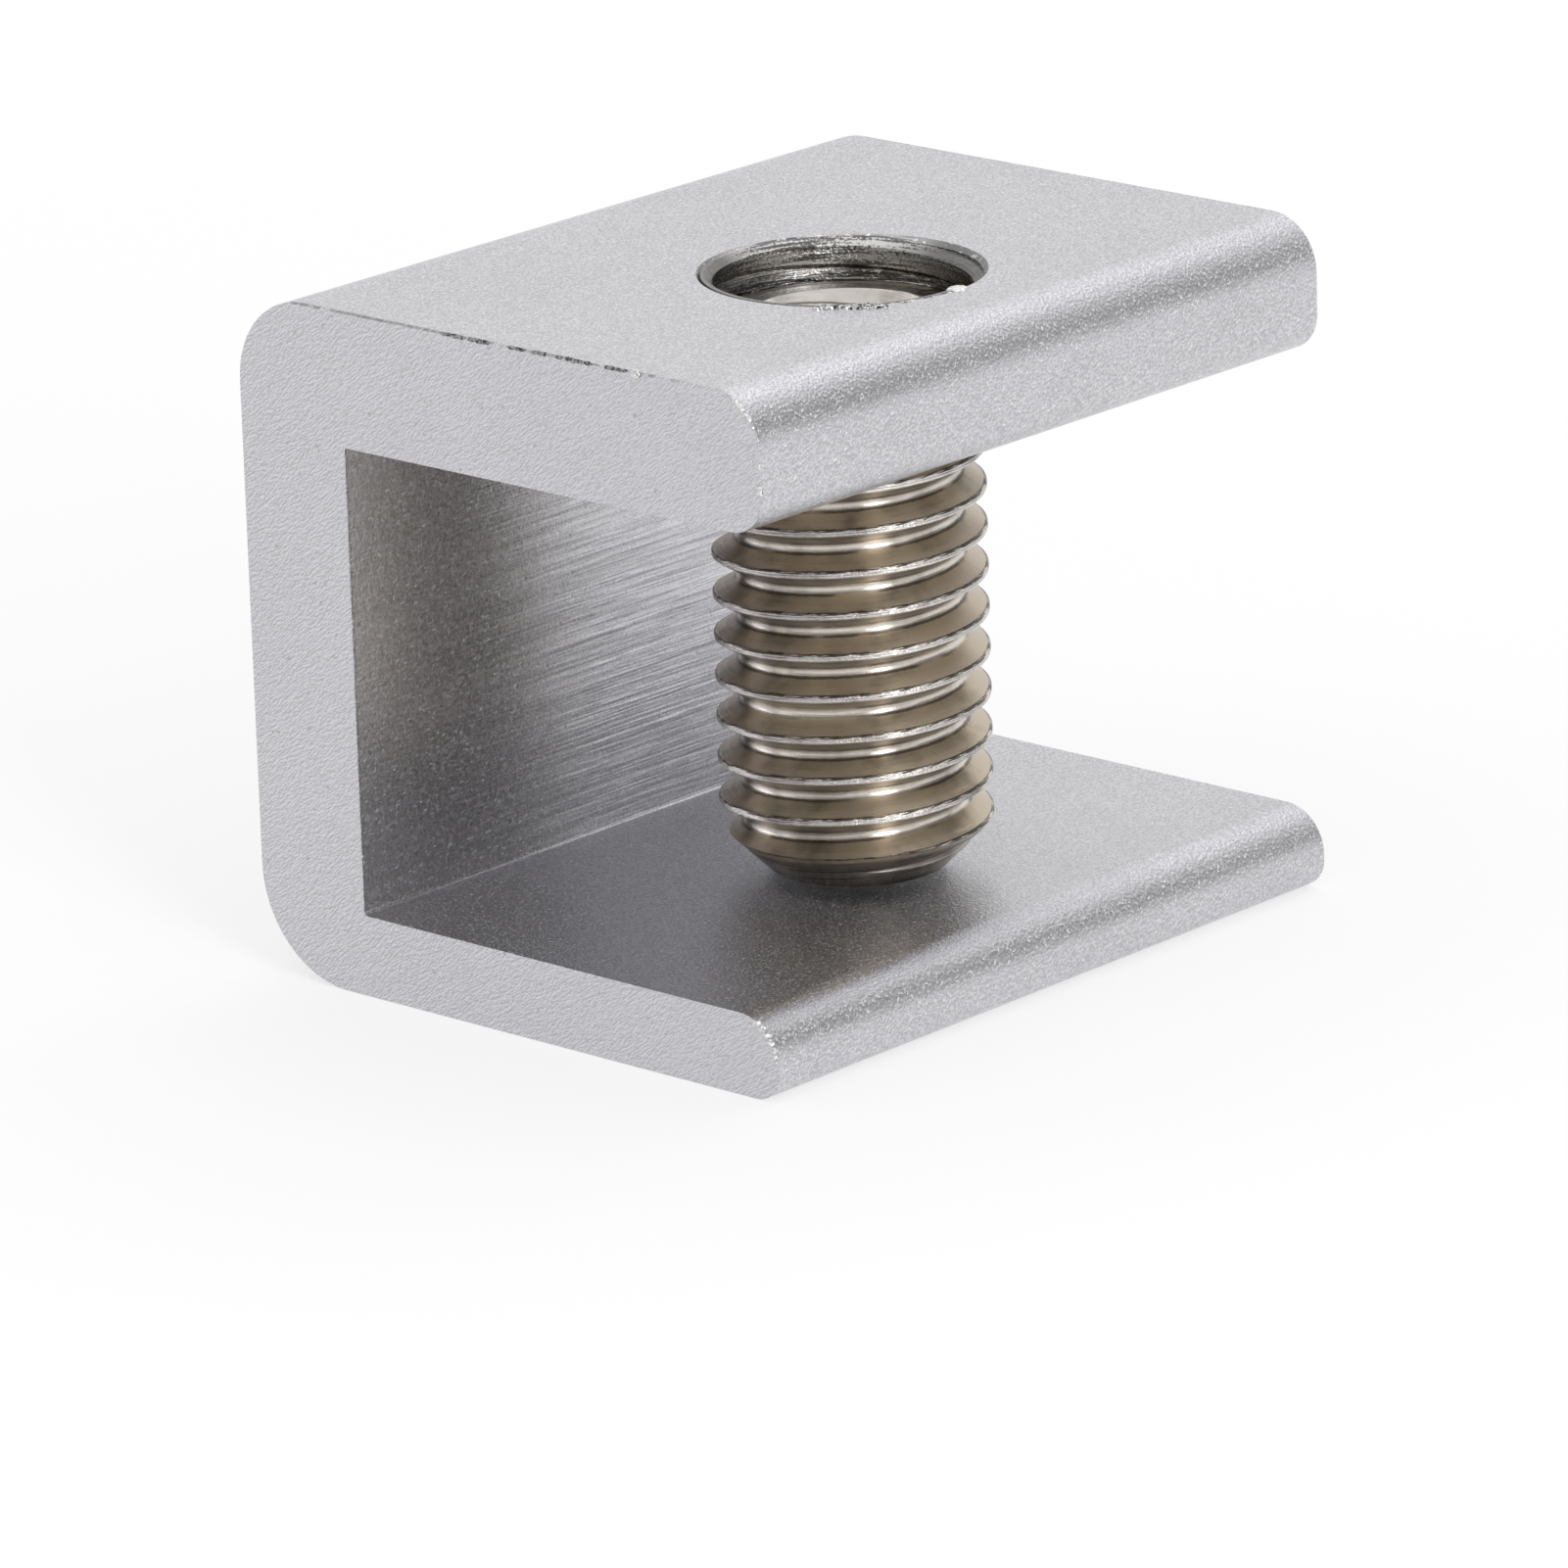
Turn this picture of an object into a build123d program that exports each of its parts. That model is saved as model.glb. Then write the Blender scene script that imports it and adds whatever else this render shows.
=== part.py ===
from build123d import *
from math import cos, radians, tan
import os

# A clamp-on lock for a sliding window: an extruded C-section with a set screw through its upper jaw.
# Millimetres. +X runs from the web to the jaws' tips, +Y along the extrusion, +Z up the screw.
# The origin is the middle of the lock's base, at the height of the face it stands on.

# The section's walls and spans
depth = 24.4
web_wall = 5.0
upper_jaw_wall = 5.0
throat_height = 17.0
lower_jaw_wall = 3.0
length = 29.8

# The section's rounded corners
back_top_radius = 3.2
back_bottom_radius = 4.0
upper_tip_top_radius = 2.0
upper_tip_under_radius = 1.4
lower_tip_top_radius = 1.7
lower_tip_under_radius = 1.1
throat_top_corner_radius = 0.1
throat_bottom_corner_radius = 0.15

# Where the screw passes through the upper jaw
screw_from_tips = 8.9
screw_off_middle = -0.45
mouth_chamfer = 0.17
running_clearance = 0.05

# The set screw, with a coarse right-hand thread
crest_diameter = 9.75
pitch = 1.5
crest_flat = 0.19
root_flat = 0.25
flank_angle = 30.0
screw_length = 20.0
tip_gap = 0.4
tip_flat_diameter = 6.5
tip_chamfer_angle = 45.0
top_chamfer = 0.5
thread_lead = 0.827

# Its socket for a hex key
key_across_flats = 5.0
key_clearance = 0.04
socket_depth = 5.5
socket_mouth_chamfer = 0.3
socket_drill_angle = 118.0

# Places that follow from the sizes above
height = lower_jaw_wall + throat_height + upper_jaw_wall
web_back = -depth / 2
web_face = web_back + web_wall
tip_face = depth / 2
throat_floor = lower_jaw_wall
throat_roof = lower_jaw_wall + throat_height
screw_x = tip_face - screw_from_tips
screw_y = screw_off_middle
screw_bottom = throat_floor + tip_gap
crest_radius = crest_diameter / 2
thread_depth = (pitch - crest_flat - root_flat) / 2 / tan(radians(flank_angle))
root_radius = crest_radius - thread_depth


def at_screw(z):
    """Place something on the screw's axis at height z."""
    return Pos(screw_x, screw_y, z)


def section_outline():
    """The C-section seen along its length, as a face in the XZ plane."""
    corners = {
        "back_bottom": (web_back, 0, back_bottom_radius),
        "lower_tip_under": (tip_face, 0, lower_tip_under_radius),
        "lower_tip_top": (tip_face, throat_floor, lower_tip_top_radius),
        "throat_bottom": (web_face, throat_floor, throat_bottom_corner_radius),
        "throat_top": (web_face, throat_roof, throat_top_corner_radius),
        "upper_tip_under": (tip_face, throat_roof, upper_tip_under_radius),
        "upper_tip_top": (tip_face, height, upper_tip_top_radius),
        "back_top": (web_back, height, back_top_radius),
    }
    points = [(x, z) for x, z, radius in corners.values()]
    outline = make_face(Polyline(*points, close=True))
    for x, z, radius in corners.values():
        corner = outline.vertices().sort_by_distance((x, z, 0))[0]
        outline = fillet(corner, radius)
    return outline


def screw_bore():
    """The hole through the upper jaw, with its chamfered mouths, as a solid to cut away."""
    radius = crest_radius + running_clearance
    bore = at_screw(throat_roof) * Cylinder(
        radius, upper_jaw_wall, align=(Align.CENTER, Align.CENTER, Align.MIN)
    )
    mouth = Cone(
        radius, radius + mouth_chamfer, mouth_chamfer, align=(Align.CENTER, Align.CENTER, Align.MIN)
    )
    top_mouth = at_screw(height - mouth_chamfer) * mouth
    under_mouth = at_screw(throat_roof + mouth_chamfer) * Rot(180, 0, 0) * mouth
    return bore + top_mouth + under_mouth


def channel_body():
    """The sawn length of C-section with the screw's hole in its upper jaw."""
    across = Plane.XZ.offset(-length / 2)
    bar = extrude(across * section_outline(), length)
    return bar - screw_bore()


def threaded_rod():
    """A rod longer than the screw at both ends, with the thread's groove cut in it."""
    groove_start = thread_lead - 2 * pitch
    turns = int((screw_length - groove_start) / pitch) + 2
    rod_start = groove_start - 2 * pitch
    rod_length = (turns + 4) * pitch
    rod = Pos(0, 0, rod_start) * Cylinder(
        crest_radius, rod_length, align=(Align.CENTER, Align.CENTER, Align.MIN)
    )
    half_root = root_flat / 2
    past_crest = thread_depth / 8
    half_mouth = (pitch - crest_flat) / 2 + past_crest * tan(radians(flank_angle))
    groove_section = Polyline(
        (root_radius, groove_start - half_root),
        (crest_radius + past_crest, groove_start - half_mouth),
        (crest_radius + past_crest, groove_start + half_mouth),
        (root_radius, groove_start + half_root),
        close=True,
    )
    path = Pos(0, 0, groove_start) * Helix(pitch, turns * pitch, crest_radius)
    return rod - sweep(Plane.XZ * make_face(groove_section), path, is_frenet=True)


def chamfered_ends():
    """What the screw's two chamfered ends leave of the rod: a shape wider than it in the middle."""
    outside = crest_radius + pitch
    tip_radius = tip_flat_diameter / 2
    top_radius = crest_radius - top_chamfer
    half_section = Polyline(
        (0, 0),
        (tip_radius, 0),
        (outside, (outside - tip_radius) / tan(radians(tip_chamfer_angle))),
        (outside, screw_length - (outside - top_radius)),
        (top_radius, screw_length),
        (0, screw_length),
        close=True,
    )
    return revolve(Plane.XZ * make_face(half_section), Axis.Z)


def key_socket():
    """The hex socket in the screw's top end, with a drilled bottom and an eased mouth."""
    flat_radius = key_across_flats / 2 + key_clearance
    mouth_radius = flat_radius / cos(radians(30)) + socket_mouth_chamfer / 2
    floor = screw_length - socket_depth
    sides = extrude(Pos(0, 0, floor) * RegularPolygon(flat_radius, 6, major_radius=False), socket_depth)
    drill_tip_height = flat_radius / tan(radians(socket_drill_angle / 2))
    drill_tip = Pos(0, 0, floor) * Rot(180, 0, 0) * Cone(
        flat_radius, 0, drill_tip_height, align=(Align.CENTER, Align.CENTER, Align.MIN)
    )
    mouth = Pos(0, 0, screw_length - socket_mouth_chamfer) * Cone(
        mouth_radius - socket_mouth_chamfer,
        mouth_radius,
        socket_mouth_chamfer,
        align=(Align.CENTER, Align.CENTER, Align.MIN),
    )
    return sides + drill_tip + mouth


def set_screw():
    """The headless screw, standing just above the lower jaw."""
    screw = (threaded_rod() & chamfered_ends()) - key_socket()
    return at_screw(screw_bottom) * screw


os.makedirs("parts", exist_ok=True)
export_step(channel_body(), "parts/channel_body.step")
export_step(set_screw(), "parts/set_screw.step")
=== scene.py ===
"""Dresses the sliding window lock: its blasted aluminium section and its rolled steel set screw."""

import logging
import math
import random
from collections.abc import Callable
from dataclasses import dataclass, field
from enum import Enum
from typing import Any

import bmesh
import bpy
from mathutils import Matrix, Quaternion, Vector


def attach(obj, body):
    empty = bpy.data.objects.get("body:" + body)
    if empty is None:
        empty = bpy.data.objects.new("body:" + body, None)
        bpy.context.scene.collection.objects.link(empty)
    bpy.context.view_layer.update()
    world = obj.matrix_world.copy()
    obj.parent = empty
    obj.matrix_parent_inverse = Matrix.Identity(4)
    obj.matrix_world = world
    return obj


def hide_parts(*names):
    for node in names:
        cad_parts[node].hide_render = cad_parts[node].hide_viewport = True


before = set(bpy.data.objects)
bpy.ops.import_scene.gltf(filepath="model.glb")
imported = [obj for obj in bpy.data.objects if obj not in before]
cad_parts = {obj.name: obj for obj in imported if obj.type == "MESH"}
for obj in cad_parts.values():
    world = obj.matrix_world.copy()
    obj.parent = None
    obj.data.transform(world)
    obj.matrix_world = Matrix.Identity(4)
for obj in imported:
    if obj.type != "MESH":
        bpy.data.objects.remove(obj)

MM = 0.001
SAME_PLACE = 2e-3
Colour = tuple[float, float, float]
Triple = tuple[float, float, float]
Pair = tuple[float, float]
Corners = list[Vector]

log = logging.getLogger("window_lock")


def mm(*sizes: float) -> tuple[float, ...]:
    """Millimetres as metres."""
    return tuple(size * MM for size in sizes)


def opaque(colour: Colour) -> tuple[float, float, float, float]:
    """A colour with its alpha."""
    return (*colour, 1.0)


# Bench


class Part(Enum):
    """What a pick selects."""

    VERTEX = "VERT"
    EDGE = "EDGE"
    FACE = "FACE"


class Cut(Enum):
    """What a cutting tool does to a piece."""

    AWAY = "DIFFERENCE"
    KEEP_INSIDE = "INTERSECT"


def all_at(**place: float) -> Callable[[Corners], bool]:
    """A test that every corner lies at the given x, y or z, in millimetres."""
    return lambda corners: all(
        abs(getattr(corner, axis) - value) < SAME_PLACE
        for corner in corners
        for axis, value in place.items()
    )


class Workpiece:
    """One mesh on the bench, started from a primitive and shaped with modelling tools."""

    def __init__(self, name: str, primitive: Callable[..., Any], **place: Any) -> None:
        """Add the primitive that the piece starts from.

        Args:
            name: The piece's name.
            primitive: The operator that adds the primitive.
            place: The operator's size and place, in metres.
        """
        self.clear()
        primitive(**place)
        self.thing = bpy.context.object
        self.thing.name = self.thing.data.name = name
        self.settle()

    @staticmethod
    def clear() -> None:
        """Leave edit mode and deselect everything."""
        if bpy.context.mode != "OBJECT":
            bpy.ops.object.mode_set(mode="OBJECT")
        bpy.ops.object.select_all(action="DESELECT")

    def take(self) -> None:
        """Make this the only selected piece, in object mode."""
        self.clear()
        self.thing.select_set(True)
        bpy.context.view_layer.objects.active = self.thing

    def settle(self) -> None:
        """Put the piece's place into its mesh, so that its object sits at the origin."""
        self.take()
        bpy.ops.object.transform_apply(location=True, rotation=True, scale=True)

    def pick(self, part: Part, test: Callable[[Corners], bool] | None = None) -> None:
        """Enter edit mode with only some parts of the mesh selected.

        Args:
            part: Whether vertices, edges or faces are picked.
            test: Says from a part's corners, in millimetres, whether it is picked. None picks all.
        """
        self.take()
        bpy.ops.object.mode_set(mode="EDIT")
        bpy.ops.mesh.select_mode(type=part.value)
        bpy.ops.mesh.select_all(action="DESELECT")
        shape = bmesh.from_edit_mesh(self.thing.data)
        elements = {Part.VERTEX: shape.verts, Part.EDGE: shape.edges, Part.FACE: shape.faces}[part]
        for element in elements:
            corners = [element.co] if part is Part.VERTEX else [vert.co for vert in element.verts]
            if test is None or test([corner / MM for corner in corners]):
                element.select_set(True)
        bmesh.update_edit_mesh(self.thing.data)

    def slice(self, z: float, keep_above: bool | None = None) -> None:
        """Cut the whole piece with a level plane.

        Args:
            z: The plane's height in millimetres.
            keep_above: Which side stays, with the cut closed. None keeps both and only adds edges.
        """
        self.pick(Part.FACE)
        bpy.ops.mesh.bisect(
            plane_co=mm(0, 0, z),
            plane_no=(0, 0, 1),
            use_fill=keep_above is not None,
            clear_inner=keep_above is True,
            clear_outer=keep_above is False,
            threshold=1e-7,
        )

    def draw_out(self, level: float, shift: float, widening: float, axis: Pair) -> None:
        """Draw a level face out along Z and widen or narrow it.

        Args:
            level: The face's height in millimetres.
            shift: How far it is drawn out in millimetres.
            widening: The drawn face's width as a share of the first.
            axis: x and y that it is widened about, in millimetres.
        """
        self.pick(Part.FACE, all_at(z=level))
        bpy.ops.mesh.extrude_region_move(TRANSFORM_OT_translate={"value": mm(0, 0, shift)})
        bpy.ops.transform.resize(value=(widening, widening, 1), center_override=mm(*axis, level))

    def finish_with(self, kind: str, **settings: Any) -> None:
        """Add a modifier and apply it.

        Args:
            kind: The modifier's type.
            settings: Its settings.
        """
        self.take()
        modifier = self.thing.modifiers.new(kind.lower(), kind)
        for name, value in settings.items():
            setattr(modifier, name, value)
        bpy.ops.object.modifier_apply(modifier=modifier.name)

    def sweep(self, pitch: float, turns: int, steps: int) -> None:
        """Sweep the profile up the Z axis as a right-hand thread, its turns merged into one surface.

        Args:
            pitch: The rise of one turn in millimetres.
            turns: How many turns.
            steps: How many steps a turn has.
        """
        self.finish_with(
            "SCREW",
            axis="Z",
            angle=math.tau,
            screw_offset=pitch * MM,
            iterations=turns,
            steps=steps,
            render_steps=steps,
        )
        self.pick(Part.VERTEX)
        bpy.ops.mesh.remove_doubles(threshold=2e-6)
        bpy.ops.mesh.fill_holes(sides=0)

    def cut(self, tool: "Workpiece", way: Cut = Cut.AWAY) -> None:
        """Cut the piece with a tool, which is used up.

        Args:
            tool: The closed shape that cuts.
            way: What is kept.
        """
        self.finish_with("BOOLEAN", object=tool.thing, operation=way.value, solver="EXACT")
        bpy.data.objects.remove(tool.thing, do_unlink=True)

    def smooth(self, angle: float) -> None:
        """Shade smooth over edges flatter than an angle in degrees, led by the large faces."""
        self.pick(Part.FACE)
        bpy.ops.mesh.normals_make_consistent(inside=False)
        self.take()
        bpy.ops.object.shade_smooth_by_angle(angle=math.radians(angle))
        self.finish_with("WEIGHTED_NORMAL", keep_sharp=True)

    def absorb(self, others: list["Workpiece"]) -> None:
        """Join other pieces' meshes into this one."""
        self.take()
        for other in others:
            other.thing.select_set(True)
        bpy.ops.object.join()

    def mount(self, body: str, slot: str, material: bpy.types.Material) -> bpy.types.Object:
        """Give the finished piece its material and the body that it rides on.

        Args:
            body: The body's name in the frame.
            slot: The record's material slot; not used.
            material: Its finish.

        Returns:
            The finished object.
        """
        self.settle()
        self.clear()
        self.thing.data.materials.clear()
        self.thing.data.materials.append(material)
        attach(self.thing, body)
        triangles = sum(len(face.vertices) - 2 for face in self.thing.data.polygons)
        log.info("%s rides on %s, %d triangles", self.thing.name, body, triangles)
        return self.thing


def countersink(name: str, place: Triple, radius: float, reach: float, sides: int) -> Workpiece:
    """A cone that widens upward at 45 degrees, as a tool.

    Args:
        name: The tool's name.
        place: Its middle in millimetres.
        radius: Its radius at the middle, in millimetres.
        reach: How far it goes below and above the middle, in millimetres.
        sides: How many sides it has.

    Returns:
        The tool.
    """
    return Workpiece(
        name,
        bpy.ops.mesh.primitive_cone_add,
        vertices=sides,
        radius1=(radius - reach) * MM,
        radius2=(radius + reach) * MM,
        depth=2 * reach * MM,
        location=mm(*place),
    )


# Shader expressions


class Value:
    """A number that varies over a surface, usable in a Python expression."""

    def __init__(self, graph: "Graph", socket: bpy.types.NodeSocket) -> None:
        """Wrap a node's output."""
        self.graph = graph
        self.socket = socket

    def math(self, operation: str, *others: "Value | float") -> "Value":
        """This value through a Math node, with the node's other operands."""
        inputs = dict(enumerate((self, *others)))
        return self.graph.value("ShaderNodeMath", {"operation": operation}, inputs)

    def reflected(self, operation: str, first: float) -> "Value":
        """A Math node with a plain number as its first operand and this value as its second."""
        return self.graph.value("ShaderNodeMath", {"operation": operation}, {0: first, 1: self})

    def __add__(self, other: "Value | float") -> "Value":
        """Sum."""
        return self.math("ADD", other)

    def __radd__(self, other: float) -> "Value":
        """Sum, with the number first."""
        return self.reflected("ADD", other)

    def __sub__(self, other: "Value | float") -> "Value":
        """Difference."""
        return self.math("SUBTRACT", other)

    def __rsub__(self, other: float) -> "Value":
        """Difference, with the number first."""
        return self.reflected("SUBTRACT", other)

    def __mul__(self, other: "Value | float") -> "Value":
        """Product."""
        return self.math("MULTIPLY", other)

    def __truediv__(self, other: "Value | float") -> "Value":
        """Quotient."""
        return self.math("DIVIDE", other)

    def __abs__(self) -> "Value":
        """Absolute value."""
        return self.math("ABSOLUTE")

    def step(self, low: float, high: float) -> "Value":
        """A mask that rises smoothly from 0 at low to 1 at high."""
        return self.graph.value(
            "ShaderNodeMapRange",
            {"interpolation_type": "SMOOTHSTEP"},
            {"Value": self, "From Min": low, "From Max": high},
        )


class Graph:
    """The nodes of one material or of the world."""

    def __init__(self, owner: bpy.types.Material | bpy.types.World) -> None:
        """Start with an empty node tree."""
        owner.use_nodes = True
        self.tree = owner.node_tree
        self.tree.nodes.clear()

    def add(
        self,
        kind: str,
        settings: dict[str, Any] | None = None,
        inputs: dict[str | int, Any] | None = None,
    ) -> bpy.types.Node:
        """Add a node.

        Args:
            kind: The node's type.
            settings: Its settings, set first.
            inputs: Plain values or links for its sockets.

        Returns:
            The node.
        """
        node = self.tree.nodes.new(kind)
        for name, value in (settings or {}).items():
            setattr(node, name, value)
        for key, value in (inputs or {}).items():
            if isinstance(value, Value):
                value = value.socket
            if isinstance(value, bpy.types.NodeSocket):
                self.tree.links.new(value, node.inputs[key])
            else:
                node.inputs[key].default_value = value
        return node

    def value(
        self,
        kind: str,
        settings: dict[str, Any] | None = None,
        inputs: dict[str | int, Any] | None = None,
        output: str | int = 0,
    ) -> Value:
        """Add a node and take one of its outputs as a value."""
        return Value(self, self.add(kind, settings, inputs).outputs[output])

    def place(self) -> tuple[bpy.types.NodeSocket, Value, Value, Value]:
        """The object coordinates in millimetres, as a vector and as x, y and z."""
        there = self.add("ShaderNodeTexCoord").outputs["Object"]
        inputs = {0: there, "Scale": 1 / MM}
        vector = self.add("ShaderNodeVectorMath", {"operation": "SCALE"}, inputs).outputs[0]
        parts = self.add("ShaderNodeSeparateXYZ", None, {0: vector})
        x, y, z = (Value(self, output) for output in parts.outputs)
        return vector, x, y, z

    def vector(self, x: Value | float, y: Value | float, z: Value | float) -> bpy.types.NodeSocket:
        """A vector of three values."""
        return self.add("ShaderNodeCombineXYZ", None, {0: x, 1: y, 2: z}).outputs[0]

    def noise(self, where: bpy.types.NodeSocket, period: float, detail: float = 2.0) -> Value:
        """Cloudy noise about 0.5, with a period in the units of its coordinates."""
        inputs = {"Vector": where, "Scale": 1 / period, "Detail": detail, "Roughness": 0.6}
        return self.value("ShaderNodeTexNoise", None, inputs)

    def cells(self, where: bpy.types.NodeSocket, period: float) -> Value:
        """The distance to the nearest of many scattered points, in units of their period."""
        inputs = {"Vector": where, "Scale": 1 / period}
        return self.value("ShaderNodeTexVoronoi", None, inputs, "Distance")

    def mix(self, mask: Value | float, first: Any, second: Any) -> bpy.types.NodeSocket:
        """A colour between two colours, which are plain or linked."""
        first, second = (opaque(c) if isinstance(c, tuple) else c for c in (first, second))
        inputs = {0: mask, 6: first, 7: second}
        return self.add("ShaderNodeMix", {"data_type": "RGBA"}, inputs).outputs[2]

    def bump(self, height: Value, relief: float) -> bpy.types.NodeSocket:
        """A bumped normal from a height, whose unit is a relief in millimetres."""
        inputs = {"Height": height, "Strength": 1.0, "Distance": relief * MM}
        return self.add("ShaderNodeBump", None, inputs).outputs[0]

    def surface(self, shader: bpy.types.NodeSocket) -> None:
        """Use a shader as the material's surface."""
        self.add("ShaderNodeOutputMaterial", None, {"Surface": shader})

    def bare_metal(
        self,
        colour: bpy.types.NodeSocket,
        roughness: Value,
        normal: bpy.types.NodeSocket,
        more: dict[str, float] | None = None,
    ) -> None:
        """Use bare metal as the material's surface, with more plain values for its other sockets."""
        inputs = {"Base Color": colour, "Metallic": 1.0, "Roughness": roughness, "Normal": normal}
        shader = self.add("ShaderNodeBsdfPrincipled", None, inputs | (more or {}))
        self.surface(shader.outputs[0])


def away_from(axis: Pair, x: Value, y: Value) -> tuple[Value, Value, Value]:
    """How far a place is from an upright axis: along x, along y and straight, in millimetres."""
    away_x, away_y = x - axis[0], y - axis[1]
    return away_x, away_y, (away_x * away_x + away_y * away_y).math("SQRT")


# Finishes


@dataclass(frozen=True)
class BlastedAluminium:
    """Extruded aluminium, sawn and then fine blasted, with the draw lines left inside the throat."""

    bright_colour: Colour = (0.69, 0.684, 0.715)
    dull_colour: Colour = (0.465, 0.461, 0.483)
    # Colour of the painted glints.
    painted_glint_colour: Colour = (0.97, 0.97, 0.98)
    # Colour of the dark pits and of painted shade.
    pit_and_shade_colour: Colour = (0.16, 0.16, 0.16)
    bare_colour: Colour = (0.72, 0.71, 0.70)
    roughness: float = 0.32
    grain: float = 0.16
    relief: float = 0.018
    blast_slant: Triple = (0.59, 0.186, 0.81)
    draw_slant: Pair = (0.975, 0.22)
    # The span along the web over which the painted light on its draw lines rises.
    painted_lit_web_span: Pair = (-13.0, -3.0)

    def blasting(self, graph: Graph, x: Value, y: Value, z: Value, sawn: Value) -> tuple[Value, Value]:
        """The blasted grain, drawn out where the face is sawn, and its painted shade: each grain painted
        lighter on one side and darker on its lee side.
        """
        slant_x, slant_y, slant_z = self.blast_slant
        across = z * slant_z - x * slant_x - y * slant_y
        lengthwise = x * slant_z + z * slant_x
        stretched = [across * (9 + sawn * 6), y * (9 - sawn * 5.4), lengthwise * (9 - sawn * 4)]
        grains = graph.noise(graph.vector(*stretched), 1.0, 2.0)
        # Painted shade: the grain shifted along the slant is taken from itself, so that each grain is painted
        # light on one side and dark on the other.
        lee_side = graph.vector(stretched[0] + 0.5, *stretched[1:])
        return grains, grains - graph.noise(lee_side, 1.0, 2.0)

    def tapping(
        self, graph: Graph, section: "ChannelBody", hole: "TappedHole", x: Value, y: Value, z: Value
    ) -> tuple[Value, Value, bpy.types.NodeSocket]:
        """Where the tap has bared the metal, the marks that it left there and their colour, painted lighter
        with painted glints on one side of the hole and darker as painted shade on the other.
        """
        away_x, away_y, away = away_from(hole.axis, x, y)
        rim = hole.bore_radius + hole.mouth
        in_hole = 1 - away.step(rim - 0.01, rim + 0.03)
        in_hole = in_hole * z.step(section.throat_roof - 0.4, section.throat_roof - 0.2)
        # Painted light and shade: one side of the hole is painted lighter, the other darker.
        painted_light_side = hole.painted_light_side(away_x, away_y)
        # Chatter marks of torn metal, painted in the glint colour as painted glints, stronger on the
        # painted-light side.
        chatter = graph.noise(graph.vector(away_x * 2.6, away_y * 2.6, z * 9), 1.0, 2.0).step(0.58, 0.66)
        marks = graph.noise(graph.vector(away * 7, (away_x + away_y) * 0.3, z * 7), 1.0, 3.0)
        mouth = in_hole * away.step(hole.bore_radius + 0.01, hole.bore_radius + 0.04)
        # Bright where the tap bared the metal on the painted-light side; elsewhere the pit colour paints the
        # hole dark as painted shade.
        bared = marks.step(0.62, 0.42) * (1 - mouth * 0.3) * (0.1 + painted_light_side * 0.9)
        bare = graph.mix(bared, self.pit_and_shade_colour, self.bare_colour)
        bare = graph.mix(chatter * (0.4 + painted_light_side * 0.5), bare, self.painted_glint_colour)
        return in_hole, marks, bare

    def material(self, section: "ChannelBody", hole: "TappedHole") -> bpy.types.Material:
        """Make the finish for the section.

        Args:
            section: Its sizes say where the cut faces and the throat are.
            hole: Its sizes say where the tap has bared the metal and which side of it is painted lighter.

        Returns:
            The material.
        """
        material = bpy.data.materials.new("blasted_aluminium_finish")
        graph = Graph(material)
        where, x, y, z = graph.place()

        fine = graph.noise(where, self.grain, 3.0) - 0.5
        coarse = graph.noise(where, self.grain * 2.6, 2.0) - 0.5
        clouds = graph.noise(where, 6.0, 2.0) - 0.5
        pits = 1 - graph.cells(where, 0.85).step(0.05, 0.12)

        sawn = abs(y).math("GREATER_THAN", section.end - 0.03)
        on_cut = abs(y).step(section.end - 0.08, section.end - 0.02)
        coarser = 0.35 + (x + z * 0.15).step(10, -11) * 0.65
        grains, painted_grain_shade = self.blasting(graph, x, y, z, sawn)
        sparks = grains.step(0.6, 0.72)

        half_throat = section.throat_height / 2
        on_web = 1 - abs(x - section.web_face).step(0.02, 0.12)
        on_web = on_web * abs(y).step(section.end - 0.01, section.end - 0.13)
        on_web = on_web * (1 - abs(z - section.throat_middle).step(half_throat, half_throat + 0.05))
        run, rise = self.draw_slant
        drawn = graph.vector(x * 3, (y * run + z * rise) * 5, (z * run - y * rise) * 17)
        glints = graph.noise(drawn, 1.0, 2.0)
        # Painted light on the web: its draw lines are painted strongly only on the lit part, its painted
        # glints mostly on the shaded part.
        painted_lit_web = 0.25 + y.step(*self.painted_lit_web_span) * 0.75
        glint = glints.step(0.65, 0.71) * (1.4 - painted_lit_web)
        lines = graph.noise(graph.vector(x * 4, y * 0.09, z * 4), 1.0, 3.0) - 0.5
        hair_lines = graph.noise(graph.vector(x * 11, y * 0.16, z * 11), 1.0, 2.0) - 0.5

        in_hole, tap_marks, bare = self.tapping(graph, section, hole, x, y, z)

        # Painted shadow of the torn lip: a dark line along the near top edge, broken up further along.
        lip = abs(y).step(section.end - 0.14, section.end - 0.06)
        lip = lip * z.step(section.top - 0.1, section.top - 0.05)
        lip_shadow_breaks = (graph.noise(where, 1.1, 2.0) - x * 0.012).step(0.4, 0.5)

        height = (
            fine * (0.9 - on_web * 0.6)
            + coarse * 0.3
            + grains * (1.3 - on_web * 1.0 + on_cut * coarser)
            - pits * (0.3 + on_cut * 0.4)
            + sparks * (1 - on_web) * 0.8
            + on_web * (painted_lit_web * (lines * 3.6 + hair_lines * 1.8) + glint * 1.6)
            + in_hole * tap_marks * 3.0
        )
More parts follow.
